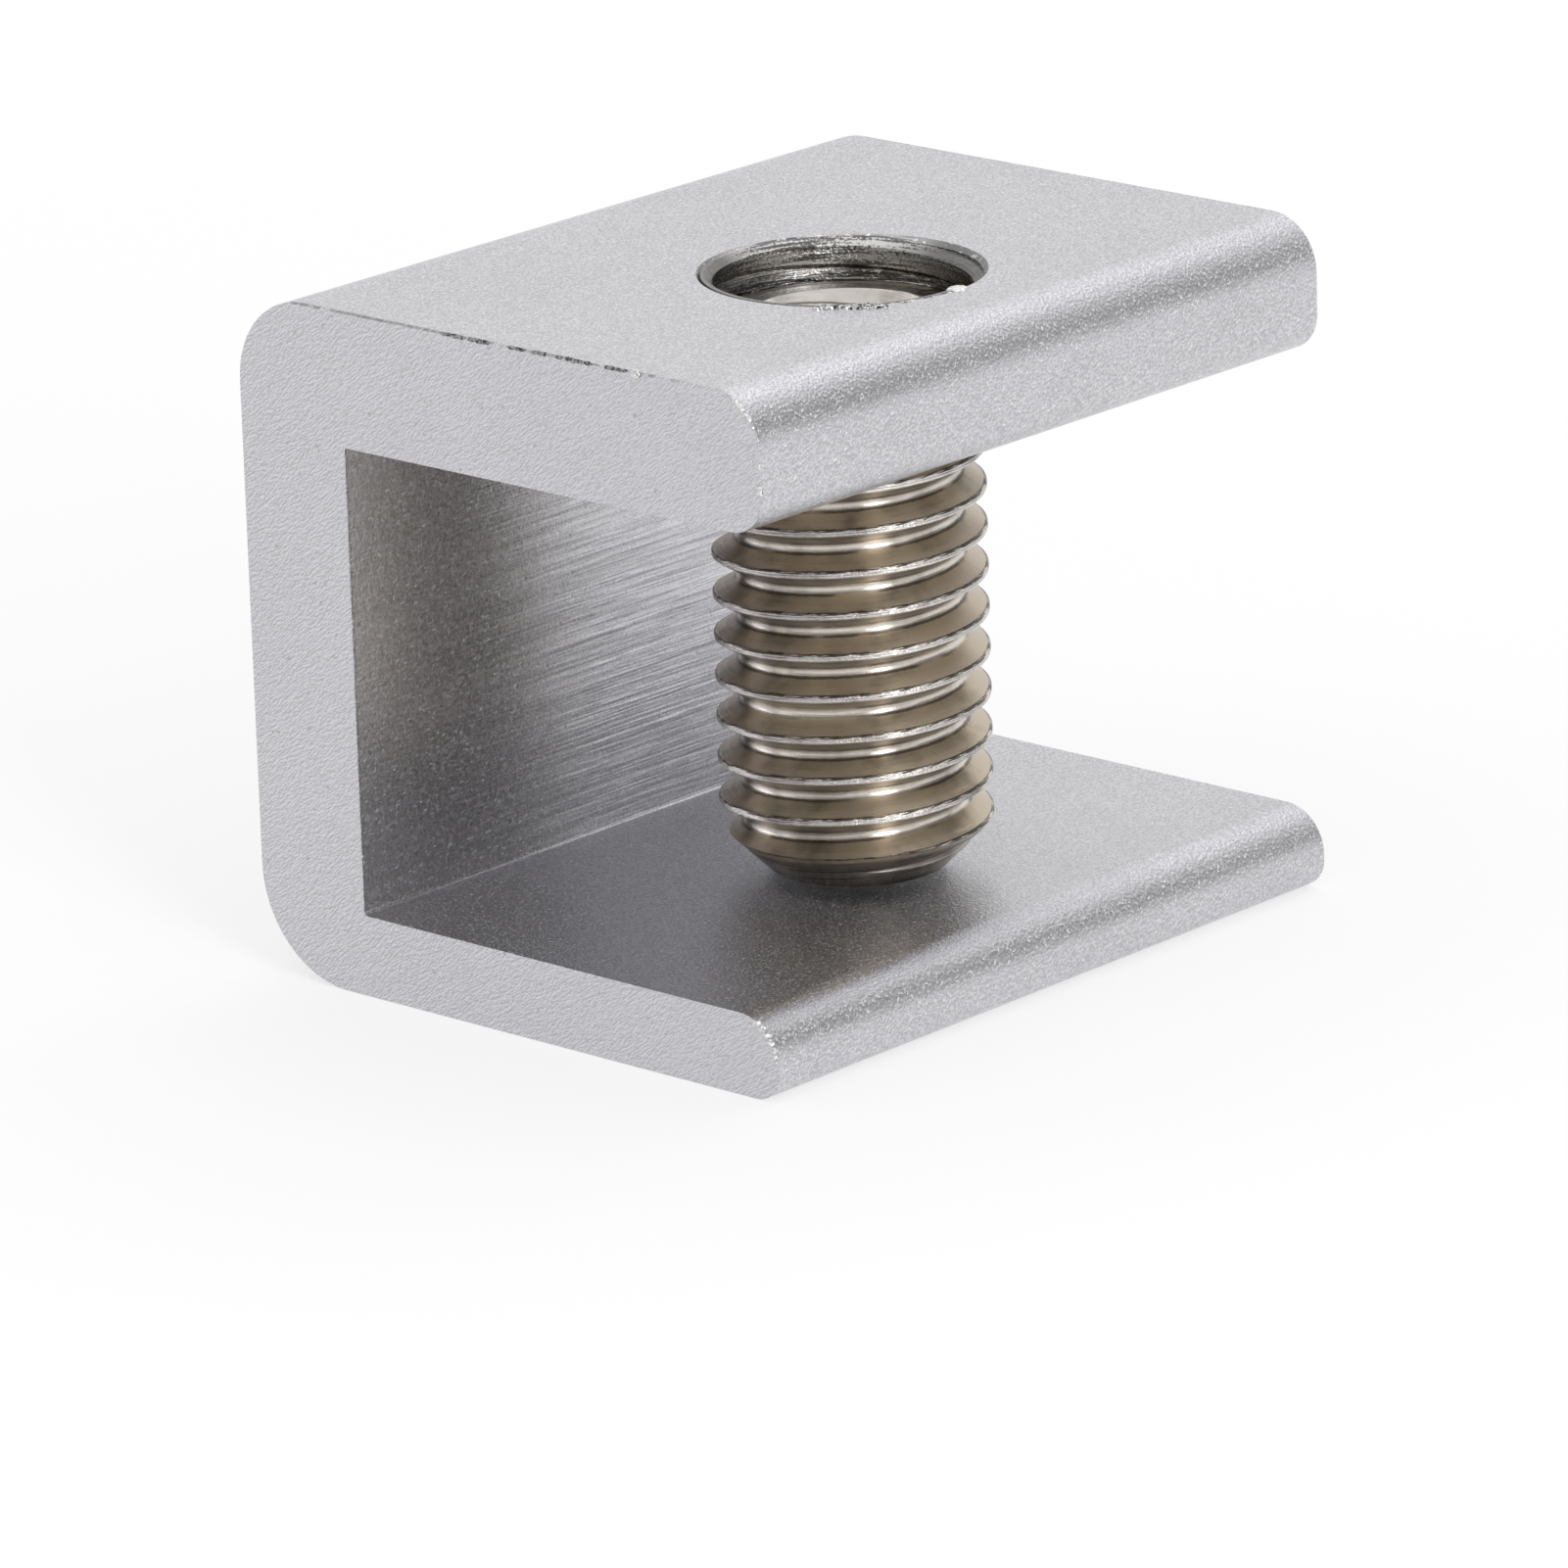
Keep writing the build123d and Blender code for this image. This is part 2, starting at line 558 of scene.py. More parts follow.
        # Random tone and grain, with painted shade from the grains' light and dark sides and from the web's
        # draw lines, painted strong only where the web is lit.
        tone_and_painted_shade = 0.5 + clouds * 0.3 + fine * (0.7 - on_web * 0.3)
        strength = 3.6 + on_cut * (coarser * 6.5 - 2.4) - on_web * 2.6
        tone_and_painted_shade = tone_and_painted_shade + painted_grain_shade * strength - on_cut * 0.03
        tone_and_painted_shade = tone_and_painted_shade + on_web * (painted_lit_web * (lines * 2.0 + hair_lines * 1.8) + (glints - 0.5) * 0.7)
        metal = graph.mix(tone_and_painted_shade.step(-0.1, 1.1), self.dull_colour, self.bright_colour)
        # Painted glints: bright specks of the grain and of the web's draw lines, in the glint colour.
        sparkle = (sparks * (1 - on_web)).math("MAXIMUM", on_web * glint)
        sparkle = sparkle * (0.55 + (1 - on_cut) * 0.25 + on_web * 0.2)
        metal = graph.mix(sparkle * (1 - on_cut * (1 - coarser)), metal, self.painted_glint_colour)
        metal = graph.mix(in_hole, metal, bare)
        # Dark pits, and the painted shadow along the lip.
        dark = lip * lip_shadow_breaks * (0.25 + fine.step(-0.15, 0.15) * 0.5)
        dark = (pits * (0.15 + on_cut * 0.1)).math("MAXIMUM", dark)
        colour = graph.mix(dark * (1 - in_hole), metal, self.pit_and_shade_colour)
        roughness = self.roughness + fine * 0.2 + on_cut * 0.03 - on_web * 0.05 - in_hole * 0.1
        graph.bare_metal(colour, roughness, graph.bump(height, self.relief))
        return material


@dataclass(frozen=True)
class CutAluminium:
    """Aluminium that a tap or a saw has torn bright."""

    colour: Colour = (0.62, 0.61, 0.595)
    dark_colour: Colour = (0.13, 0.125, 0.12)
    roughness: float = 0.24
    relief: float = 0.035

    def material(self, name: str, hole: "TappedHole", rings: float = 0.0) -> bpy.types.Material:
        """Make the finish.

        Args:
            name: The material's name.
            hole: The tool turned about its axis.
            rings: How strongly the tool's rings show, and how dark the far side of the hole is painted as
                painted shade.

        Returns:
            The material.
        """
        material = bpy.data.materials.new(name)
        graph = Graph(material)
        where, x, y, z = graph.place()
        away_x, away_y, away = away_from(hole.axis, x, y)
        ring_marks = graph.noise(graph.vector(away * 9, (away_x + away_y) * 0.25, z * 9), 1.0, 2.0)
        torn = graph.noise(where, 0.11, 3.0)
        dark = (torn * (1 - 0.6 * rings) + ring_marks * 0.6 * rings).step(0.46, 0.55)
        # Painted shade: the far side of the tapped ridge is painted dark.
        dark = dark.math("MAXIMUM", (1 - hole.painted_light_side(away_x, away_y)) * 0.88 * rings)
        colour = graph.mix(dark, self.colour, self.dark_colour)
        roughness = self.roughness + (torn - 0.5) * 0.3
        graph.bare_metal(colour, roughness, graph.bump(torn + ring_marks * rings, self.relief))
        return material


@dataclass(frozen=True)
class RolledSteel:
    """Warm plated steel with a rolled thread: smooth brownish flanks, rough bright crests."""

    flank_colour: Colour = (0.57, 0.487, 0.375)
    # Painted shade on the flank that faces down.
    underside_shade_colour: Colour = (0.20, 0.178, 0.155)
    bright_colour: Colour = (0.72, 0.69, 0.66)
    # Near black for the painted shadows, the painted shade and the stains.
    stain_and_shade_colour: Colour = (0.06, 0.05, 0.04)
    roughness: float = 0.21
    relief: float = 0.006
    # Where the painted lap shadow, the painted shade beside the groove and the shaded flank lie, as shares of
    # the pitch from the groove's middle.
    lap_shadow_share: float = 0.568
    groove_edge_shade_share: float = 0.12
    underside_share: float = 0.27

    def material(self, screw: "SetScrew") -> bpy.types.Material:
        """Make the finish for the screw.

        Args:
            screw: Its sizes say where the thread runs.

        Returns:
            The material.
        """
        material = bpy.data.materials.new("rolled_steel_finish")
        graph = Graph(material)
        where, x, y, z = graph.place()
        away_x, away_y, radius = away_from(screw.axis, x, y)
        turn = away_y.math("ARCTAN2", away_x) / math.tau
        ragged = graph.noise(where, 0.3, 3.0) - 0.5
        along = ((z - screw.root_height) / screw.pitch - turn + ragged * 0.035).math("FRACT")

        crest = radius.step(screw.crest_radius - 0.11, screw.crest_radius - 0.05)
        root = 1 - radius.step(screw.root_radius + 0.03, screw.root_radius + 0.14)
        streaks = graph.noise(graph.vector(away_x * 0.35, away_y * 0.35, along * 26), 1.0, 3.0)
        laps = graph.noise(graph.vector(away_x * 1.6, away_y * 1.6, along * 34), 1.0, 2.0)
        stain = graph.noise(where, 2.6, 2.0)
        grain = graph.noise(where, 0.09, 2.0)

        # Painted shadow: a thin broken dark line along the crest's upper edge, under the rolled lap.
        lap_shadow = (1 - abs(along - self.lap_shadow_share).step(0.02, 0.045)) * laps.step(0.43, 0.53)
        # The crests are rolled bright; the groove's bottom is painted light as well, as a painted highlight.
        bright = (crest + root * 0.7).math("MINIMUM", 1.0)
        from_root = abs((along + 0.5).math("FRACT") - 0.5)
        # Painted shade: thin dark lines on both sides of the groove's painted highlight.
        groove_edge_shade = (1 - abs(from_root - self.groove_edge_shade_share).step(0.012, 0.034)) * stain.step(0.38, 0.5)
        # Painted shade on the flank that faces down.
        underside_shade = (1 - abs(along - self.underside_share).step(0.13, 0.17)) * (1 - streaks.step(0.42, 0.62) * 0.7)
        flank = graph.mix(underside_shade, self.flank_colour, self.underside_shade_colour)
        metal = graph.mix(bright, flank, self.bright_colour)
        # Darker mottling: stains and rolling streaks, with vertical dark bands painted as reflections.
        dull = (stain - 0.5) * 0.8 + (streaks - 0.5) * 0.6
        painted_reflection_bands = graph.noise(graph.vector(away_x * 0.5, away_y * 0.5, z * 0.12), 1.0, 3.0) - 0.5
        dull = dull + painted_reflection_bands * 1.6
        metal = graph.mix(dull.step(-0.1, 0.5) * 0.55, metal, self.stain_and_shade_colour)
        metal = graph.mix(groove_edge_shade * 0.75, metal, self.stain_and_shade_colour)
        # Painted shade: the tip's cone is painted darker.
        tip = z.step(screw.bottom + 1.5, screw.bottom + 0.7)
        metal = graph.mix(tip * 0.55, metal, self.stain_and_shade_colour)
        colour = graph.mix(lap_shadow * 0.9, metal, self.stain_and_shade_colour)
        height = streaks * (1.6 + crest * 2.5) + crest * (laps * 7.0 + grain * 5.0)
        height = height + grain * 0.5 + stain * 2.0
        roughness = self.roughness + (1 - bright) * 0.14 + crest * 0.04 + (streaks - 0.5) * 0.12
        rolled = {"Anisotropic": 0.7, "Anisotropic Rotation": 0.25}
        graph.bare_metal(colour, roughness, graph.bump(height, self.relief), rolled)
        return material


# The lock


@dataclass
class ChannelBody:
    """The sawn length of C-section with its tapped hole. Sizes in millimetres."""

    depth: float = 24.4
    web_wall: float = 5.0
    upper_jaw_wall: float = 5.0
    throat_height: float = 17.0
    lower_jaw_wall: float = 3.0
    length: float = 29.8
    back_top_radius: float = 3.2
    back_bottom_radius: float = 4.0
    upper_tip_top_radius: float = 2.0
    upper_tip_under_radius: float = 1.4
    lower_tip_top_radius: float = 1.7
    lower_tip_under_radius: float = 1.1
    throat_top_corner_radius: float = 0.1
    throat_bottom_corner_radius: float = 0.15
    arc_segments: int = 12
    inner_segments: int = 4
    sawn_edge: float = 0.06
    burr_room: float = 0.07

    @property
    def web_face(self) -> float:
        """Where the web's inner face is."""
        return self.web_wall - self.depth / 2

    @property
    def height(self) -> float:
        """The section's whole height."""
        return self.lower_jaw_wall + self.throat_height + self.upper_jaw_wall

    @property
    def throat_roof(self) -> float:
        """The height of the upper jaw's underside."""
        return self.lower_jaw_wall + self.throat_height

    @property
    def throat_middle(self) -> float:
        """The height halfway between the jaws."""
        return self.lower_jaw_wall + self.throat_height / 2

    @property
    def top(self) -> float:
        """The height of the top face, which its burrs stand on."""
        return self.height - self.burr_room

    @property
    def end(self) -> float:
        """How far each sawn end is from the middle, without its burrs."""
        return self.length / 2 - self.burr_room

    def drawn_section(self) -> Workpiece:
        """The C-section: a block for the web with both jaws drawn out of it.

        Returns:
            The section with sharp corners.
        """
        back = -self.depth / 2
        piece = Workpiece(
            "blasted_section",
            bpy.ops.mesh.primitive_cube_add,
            size=1.0,
            location=mm(back + self.web_wall / 2, 0, self.top / 2),
            scale=mm(self.web_wall, 2 * self.end, self.top),
        )
        piece.slice(self.lower_jaw_wall)
        piece.slice(self.throat_roof)
        reach = {"value": mm(self.depth - self.web_wall, 0, 0)}
        for low, high in ((0.0, self.lower_jaw_wall), (self.throat_roof, self.top)):
            piece.pick(
                Part.FACE,
                lambda corners: all_at(x=self.web_face)(corners)
                and all(low - 0.01 < corner.z < high + 0.01 for corner in corners),
            )
            bpy.ops.mesh.extrude_region_move(TRANSFORM_OT_translate=reach)
        piece.pick(Part.FACE)
        bpy.ops.mesh.dissolve_limited(angle_limit=math.radians(0.5))
        return piece

    def round_corners(self, piece: Workpiece) -> None:
        """Round each corner that runs the section's length, and ease the sawn edges.

        Args:
            piece: The section with sharp corners.
        """
        back, tip = -self.depth / 2, self.depth / 2
        corners = (
            (back, 0.0, self.back_bottom_radius),
            (back, self.top, self.back_top_radius),
            (tip, self.top, self.upper_tip_top_radius),
            (tip, self.throat_roof, self.upper_tip_under_radius),
            (tip, self.lower_jaw_wall, self.lower_tip_top_radius),
            (tip, 0.0, self.lower_tip_under_radius),
            (self.web_face, self.throat_roof, self.throat_top_corner_radius),
            (self.web_face, self.lower_jaw_wall, self.throat_bottom_corner_radius),
        )
        for x, z, radius in corners:
            piece.pick(Part.EDGE, all_at(x=x, z=z))
            segments = self.arc_segments if radius > 1 else self.inner_segments
            bpy.ops.mesh.bevel(offset=radius * MM, segments=segments, affect="EDGES")
        for end in (-self.end, self.end):
            piece.pick(Part.EDGE, all_at(y=end))
            bpy.ops.mesh.bevel(offset=self.sawn_edge * MM, segments=2, affect="EDGES")

    def build(self, hole: "TappedHole") -> Workpiece:
        """Make the section.

        Args:
            hole: The hole through the upper jaw.

        Returns:
            The finished shape.
        """
        piece = self.drawn_section()
        self.round_corners(piece)
        piece.cut(hole.drill(self.throat_roof, self.top))
        piece.smooth(35)
        return piece


@dataclass
class TappedHole:
    """The tapped hole through the upper jaw, with the thread that shows above the screw's end."""

    axis: Pair = (3.3, -0.45)
    bore_radius: float = 4.925
    thread_radius: float = 4.55
    mouth: float = 0.17
    pitch: float = 1.5
    root_radius: float = 3.957
    root_flat: float = 0.25
    groove_height: float = 4.227
    flank_angle: float = 30.0
    crest_rounding: float = 0.05
    clearance: float = 0.11
    let_in: float = 0.04
    rise: float = 0.04
    lowest: float = 23.45
    top_gap: float = 0.02
    lead_in: float = 0.12
    turns: int = 4
    steps: int = 144
    sides: int = 160
    # Which side of the hole is painted lighter, as painted light, and over what span.
    painted_light_direction: Pair = (-0.79, 0.62)
    painted_light_span: Pair = (2.6, 4.3)

    def painted_light_side(self, away_x: Value, away_y: Value) -> Value:
        """A mask of the side of the hole that is painted lighter as painted light, from the way away from the
        axis.
        """
        toward_x, toward_y = self.painted_light_direction
        return (away_y * toward_y + away_x * toward_x).step(*self.painted_light_span)

    def drill(self, low: float, high: float) -> Workpiece:
        """The drill with both mouths' chamfers on it, as a tool longer than the wall.

        Args:
            low: The height of the wall's underside.
            high: The height of its top face.

        Returns:
            The tool.
        """
        drill = Workpiece(
            "drill",
            bpy.ops.mesh.primitive_cylinder_add,
            vertices=self.sides,
            radius=self.bore_radius * MM,
            depth=(high - low - 2 * self.mouth) * MM,
            location=mm(*self.axis, (high + low) / 2),
        )
        widening = (self.bore_radius + 2 * self.mouth) / self.bore_radius
        for level, way in ((high - self.mouth, 1), (low + self.mouth, -1)):
            drill.draw_out(level, way * 2 * self.mouth, widening, self.axis)
        return drill

    def half_width(self, radius: float) -> float:
        """Half of what the thread's ridge measures along Z at a radius."""
        slope = math.tan(math.radians(self.flank_angle))
        return self.root_flat / 2 + (radius - self.root_radius) * slope - self.clearance

    def thread(self, top: float) -> Workpiece:
        """The thread's ridge from just above the screw's end up to the countersunk mouth.

        Args:
            top: The height of the jaw's top face.

        Returns:
            The ridge, let a little into the wall that carries it.
        """
        foot_radius = self.bore_radius + self.let_in
        middle = (foot_radius + self.thread_radius) / 2
        half_foot, half_crest = self.half_width(foot_radius), self.half_width(self.thread_radius)
        turns_below = math.floor((self.lowest - self.groove_height) / self.pitch - 2)
        first = self.groove_height + turns_below * self.pitch
        ridge = Workpiece(
            "tapped_thread",
            bpy.ops.mesh.primitive_plane_add,
            size=1.0,
            location=mm(middle, 0, 0),
            rotation=(math.pi / 2, 0, 0),
        )
        ridge.pick(Part.VERTEX)
        bpy.ops.transform.resize(
            value=((foot_radius - self.thread_radius) * MM, 1, 2 * half_foot * MM),
            center_override=mm(middle, 0, 0),
        )
        ridge.pick(Part.EDGE, all_at(x=self.thread_radius))
        bpy.ops.transform.resize(
            value=(1, 1, half_crest / half_foot), center_override=mm(self.thread_radius, 0, 0)
        )
        ridge.pick(Part.VERTEX, all_at(x=self.thread_radius))
        bpy.ops.mesh.bevel(offset=self.crest_rounding * MM, segments=2, affect="VERTICES")
        ridge.pick(Part.FACE)
        bpy.ops.mesh.delete(type="ONLY_FACE")
        ridge.sweep(self.pitch, self.turns, self.steps)
        bpy.ops.transform.translate(value=mm(*self.axis, first + self.rise))
        bpy.ops.mesh.normals_make_consistent(inside=False)
        ridge.slice(self.lowest, keep_above=True)
        ridge.slice(top - self.top_gap, keep_above=False)
        wide, reach = self.bore_radius - self.lead_in, 0.5
        ridge.cut(countersink("lead_in", (*self.axis, top), wide, reach, self.sides))
        ridge.smooth(40)
        return ridge


@dataclass
class SetScrew:
    """The headless set screw with its rolled thread. Sizes in millimetres."""

    axis: Pair = (3.3, -0.45)
    bottom: float = 3.4
    length: float = 20.0
    crest_radius: float = 4.875
    pitch: float = 1.5
    crest_flat: float = 0.19
    root_flat: float = 0.25
    flank_angle: float = 30.0
    thread_lead: float = 0.827
    tip_radius: float = 3.25
    top_chamfer: float = 0.5
    socket_flat_radius: float = 2.54
    socket_depth: float = 5.5
    socket_drill_angle: float = 118.0
    socket_mouth: float = 0.9
    seam_depth: float = 0.035
    steps: int = 120

    @property
    def root_radius(self) -> float:
        """The radius at the bottom of the thread."""
        flanks = self.pitch - self.crest_flat - self.root_flat
        return self.crest_radius - flanks / 2 / math.tan(math.radians(self.flank_angle))

    @property
    def root_height(self) -> float:
        """The height of the groove's middle on the +X side, at its lowest turn."""
        return self.bottom + self.thread_lead

    @property
    def top(self) -> float:
        """The height of the screw's upper end."""
        return self.bottom + self.length

    @property
    def socket_corner(self) -> float:
        """How far the hex socket's corners are from its axis."""
        return self.socket_flat_radius / math.cos(math.pi / 6)

    def profile(self) -> list[Pair]:
        """One pitch of the thread from groove to groove, as pairs of height and radius."""
        half_root, half_pitch = self.root_flat / 2, self.pitch / 2
        shoulder = half_pitch - self.crest_flat / 2
        slope = 1 / math.tan(math.radians(self.flank_angle))
        rise = 0.09
        half = [
            (0.0, self.root_radius),
            (half_root - 0.06, self.root_radius),
            (half_root + 0.01, self.root_radius + 0.035),
            (half_root + rise, self.root_radius + rise * slope),
            (shoulder - 0.03, self.crest_radius - 0.03 * slope),
            (shoulder, self.crest_radius - 0.012),
            (shoulder + 0.03, self.crest_radius),
            (half_pitch - 0.025, self.crest_radius - 0.004),
            (half_pitch, self.crest_radius - self.seam_depth),
        ]
        return half + [(self.pitch - height, radius) for height, radius in reversed(half[:-1])]

    def threaded_rod(self) -> Workpiece:
        """A threaded rod longer than the screw at both ends.

        Returns:
            The rod, closed at its ends.
        """
        points = self.profile()
        speck = 0.1
        rod = Workpiece(
            "rolled_set_screw",
            bpy.ops.mesh.primitive_plane_add,
            size=speck * MM,
            location=mm(points[0][1] + speck / 2, speck / 2, speck / 2),
        )
        rod.pick(Part.VERTEX, lambda corners: corners[0].x > points[0][1] + 0.01 or corners[0].y > 0.01)
        bpy.ops.mesh.delete(type="VERT")
        rod.pick(Part.VERTEX)
        bpy.ops.transform.translate(value=mm(0, 0, -speck / 2))
        for (low, inner), (high, outer) in zip(points, points[1:]):
            step = {"value": mm(outer - inner, 0, high - low)}
            bpy.ops.mesh.extrude_vertices_move(TRANSFORM_OT_translate=step)
        spare_turns, turns_below, spare = 4, 3, 0.3
        rod.sweep(self.pitch, math.ceil(self.length / self.pitch) + spare_turns, self.steps)
        bpy.ops.transform.translate(value=mm(*self.axis, self.root_height - turns_below * self.pitch))
        bpy.ops.mesh.normals_make_consistent(inside=False)
        rod.slice(self.bottom - spare, keep_above=True)
        rod.slice(self.top + spare, keep_above=False)
        return rod

    def turned_ends(self) -> Workpiece:
        """What the two turned ends leave of the rod: wider than it in the middle.

        Returns:
            The closed shape, as a tool that keeps what is inside it.
        """
        outside = self.crest_radius + 1.0
        tip_rise = outside - self.tip_radius
        top_drop = outside - (self.crest_radius - self.top_chamfer)
        blank = Workpiece(
            "turned_ends",
            bpy.ops.mesh.primitive_cylinder_add,
            vertices=self.steps,
            radius=outside * MM,
            depth=(self.length - tip_rise - top_drop) * MM,
            location=mm(*self.axis, self.bottom + (self.length + tip_rise - top_drop) / 2),
        )
        ends = (
            (self.bottom + tip_rise, -tip_rise, self.tip_radius),
            (self.top - top_drop, top_drop, self.crest_radius - self.top_chamfer),
        )
        for level, shift, radius in ends:
            blank.draw_out(level, shift, radius / outside, self.axis)
        return blank

    def hex_broach(self) -> Workpiece:
        """The hex socket with its drilled bottom, as a tool."""
        floor = self.top - self.socket_depth
        broach = Workpiece(
            "hex_broach",
            bpy.ops.mesh.primitive_cylinder_add,
            vertices=6,
            radius=self.socket_corner * MM,
            depth=(self.socket_depth + 1) * MM,
            location=mm(*self.axis, floor + (self.socket_depth + 1) / 2),
            rotation=(0, 0, math.pi / 6),
        )
        drop = self.socket_flat_radius / math.tan(math.radians(self.socket_drill_angle / 2))
        blunt_point = 0.02
        broach.draw_out(floor, -drop, blunt_point, self.axis)
        return broach

    def build(self) -> Workpiece:
        """Make the screw."""
        screw = self.threaded_rod()
        screw.cut(self.turned_ends(), Cut.KEEP_INSIDE)
        screw.cut(self.hex_broach())
        wide, reach, sides = self.socket_corner + self.socket_mouth / 2, 1.0, 96
        screw.cut(countersink("socket_countersink", (*self.axis, self.top), wide, reach, sides))
        screw.smooth(40)
        return screw


@dataclass
class TornBurrs:
    """Torn crumbs of metal along the sawn edges and round the hole's mouth. Sizes in millimetres."""

    seed: int = 4
    torn_spans: tuple[Pair, ...] = (
        (-2.2, -1.35),
        (-0.85, 0.0),
        (1.0, 1.65),
        (2.1, 2.7),
        (3.2, 4.6),
        (5.4, 6.2),
    )
    bead_place: float = 6.69
    edge_bead: Triple = (0.2, 0.2, 0.2)
    rim_cluster: Pair = (-58.0, -33.0)
    rim_thread: Pair = (-33.0, 0.0)
    bead_angle: float = 4.0
    rim_bead: Triple = (0.4, 0.42, 0.2)
    frayed_from: float = 62.0

    def crumb(self, place: Vector, turn: float, size: Triple, seed: int) -> Workpiece:
        """One torn crumb.

        Args:
            place: Its middle in millimetres.
            turn: How far it is turned about Z, in radians.
            size: Its half sizes in millimetres, before the turn.
            seed: What its torn shape comes from.

        Returns:
            The crumb.
        """
        crumb = Workpiece(
            "crumb",
            bpy.ops.mesh.primitive_ico_sphere_add,
            subdivisions=3,
            radius=1.0,
            location=mm(*place),
            rotation=(0, 0, turn),
            scale=mm(*size),
        )
        crumb.pick(Part.VERTEX)
        bpy.ops.transform.vertex_random(offset=min(size) * 0.3 * MM, seed=seed)
        crumb.take()
        bpy.ops.object.shade_smooth()
        return crumb

    def gather(self, name: str, crumbs: list[Workpiece], section: ChannelBody) -> Workpiece:
        """Join crumbs into one piece and press what stands out back into the section's own box.

        Args:
            name: The piece's name.
            crumbs: The crumbs.
            section: Its sizes are the box's.

        Returns:
            The joined piece.
        """
        first, *rest = crumbs
        first.thing.name = first.thing.data.name = name
        first.absorb(rest)
        near, tip = -section.length / 2, section.depth / 2
        walls = (
            (lambda corners: corners[0].x > tip, (0, 1, 1), (tip, 0, 0)),
            (lambda corners: corners[0].z > section.height, (1, 1, 0), (0, 0, section.height)),
            (lambda corners: corners[0].y < near, (1, 0, 1), (0, near, 0)),
        )
        for stands_out, press, wall in walls:
            first.pick(Part.VERTEX, stands_out)
            bpy.ops.transform.resize(value=press, center_override=mm(*wall))
        return first

    def along_edge(self, section: ChannelBody) -> Workpiece:
        """The torn lip on the near sawn edge of the top face; main dresses it dark as painted shade."""
        dice = random.Random(self.seed)
        crumbs = []
        for low, high in self.torn_spans:
            x = low
            while x < high:
                long = dice.uniform(0.12, 0.26)
                place = Vector((x, -section.end + dice.uniform(-0.01, 0.03), section.top - 0.04))
                size = (long, dice.uniform(0.06, 0.08), dice.uniform(0.06, 0.09))
                crumbs.append(self.crumb(place, dice.uniform(-0.2, 0.2), size, len(crumbs)))
                x += long * dice.uniform(1.1, 1.9)
        return self.gather("sawn_edge_burrs", crumbs, section)

    def bright_specks(self, hole: "TappedHole", section: ChannelBody) -> Workpiece:
        """The bright crumbs: a bead on the sawn edge, one on the rim, and the frayed tips of both jaws; main
        dresses them light, partly as torn metal's own brightness and partly as painted highlight.
        """
        dice = random.Random(self.seed + 7)
        near = -section.end
        on_edge = Vector((self.bead_place, near, section.top - 0.03))
        crumbs = [self.crumb(on_edge, 0.0, self.edge_bead, 90)]
        angle = math.radians(self.bead_angle)
        place = Vector((*hole.axis, section.top - 0.08))
        place += Vector((math.cos(angle), math.sin(angle), 0)) * (hole.bore_radius + 0.1)
        crumbs.append(self.crumb(place, angle, self.rim_bead, 91))
        start = math.radians(self.frayed_from)
        tips = (
            (section.top, section.upper_tip_top_radius, 1.6, 24),
            (section.lower_jaw_wall, section.lower_tip_top_radius, 0.2, 16),
        )
        for top, radius, below, count in tips:
            middle = Vector((section.depth / 2 - radius, near, top - radius))
            arc = radius * start
            for _ in range(count):
                travel = dice.random() ** 2.6 * (arc + below)
                slope = max(0.0, start - travel / radius)
                place = middle + Vector((math.cos(slope), 0, math.sin(slope))) * (radius - 0.03)
                place.z -= max(0.0, travel - arc)
                size = (dice.uniform(0.05, 0.17), dice.uniform(0.04, 0.07), dice.uniform(0.04, 0.11))
                crumbs.append(self.crumb(place, dice.uniform(0, 3), size, 300 + len(crumbs)))
        return self.gather("bright_burrs", crumbs, section)

    def round_rim(self, hole: "TappedHole", section: ChannelBody) -> Workpiece:
        """The ragged crumbs on the near side of the hole's mouth; main dresses them with painted highlights
        and painted shadows.
        """
        dice = random.Random(self.seed + 1)
        crumbs = []
        for (low, high), count, tall in ((self.rim_cluster, 60, 0.3), (self.rim_thread, 12, 0.05)):
            for index in range(count):
                angle = math.radians(low + (high - low) * (index + dice.random()) / count)
                radius = hole.bore_radius + 0.12 + dice.uniform(0.0, tall * 1.4)
                middle = Vector((*hole.axis, section.top - dice.uniform(0.0, 0.06)))
                place = middle + Vector((math.cos(angle), math.sin(angle), 0)) * radius
                size = (dice.uniform(0.06, 0.15), dice.uniform(0.08, 0.22), dice.uniform(0.3, 0.6) * tall)
                crumbs.append(self.crumb(place, angle + dice.uniform(-0.4, 0.4), size, 200 + len(crumbs)))
        return self.gather("hole_rim_burrs", crumbs, section)


# Studio


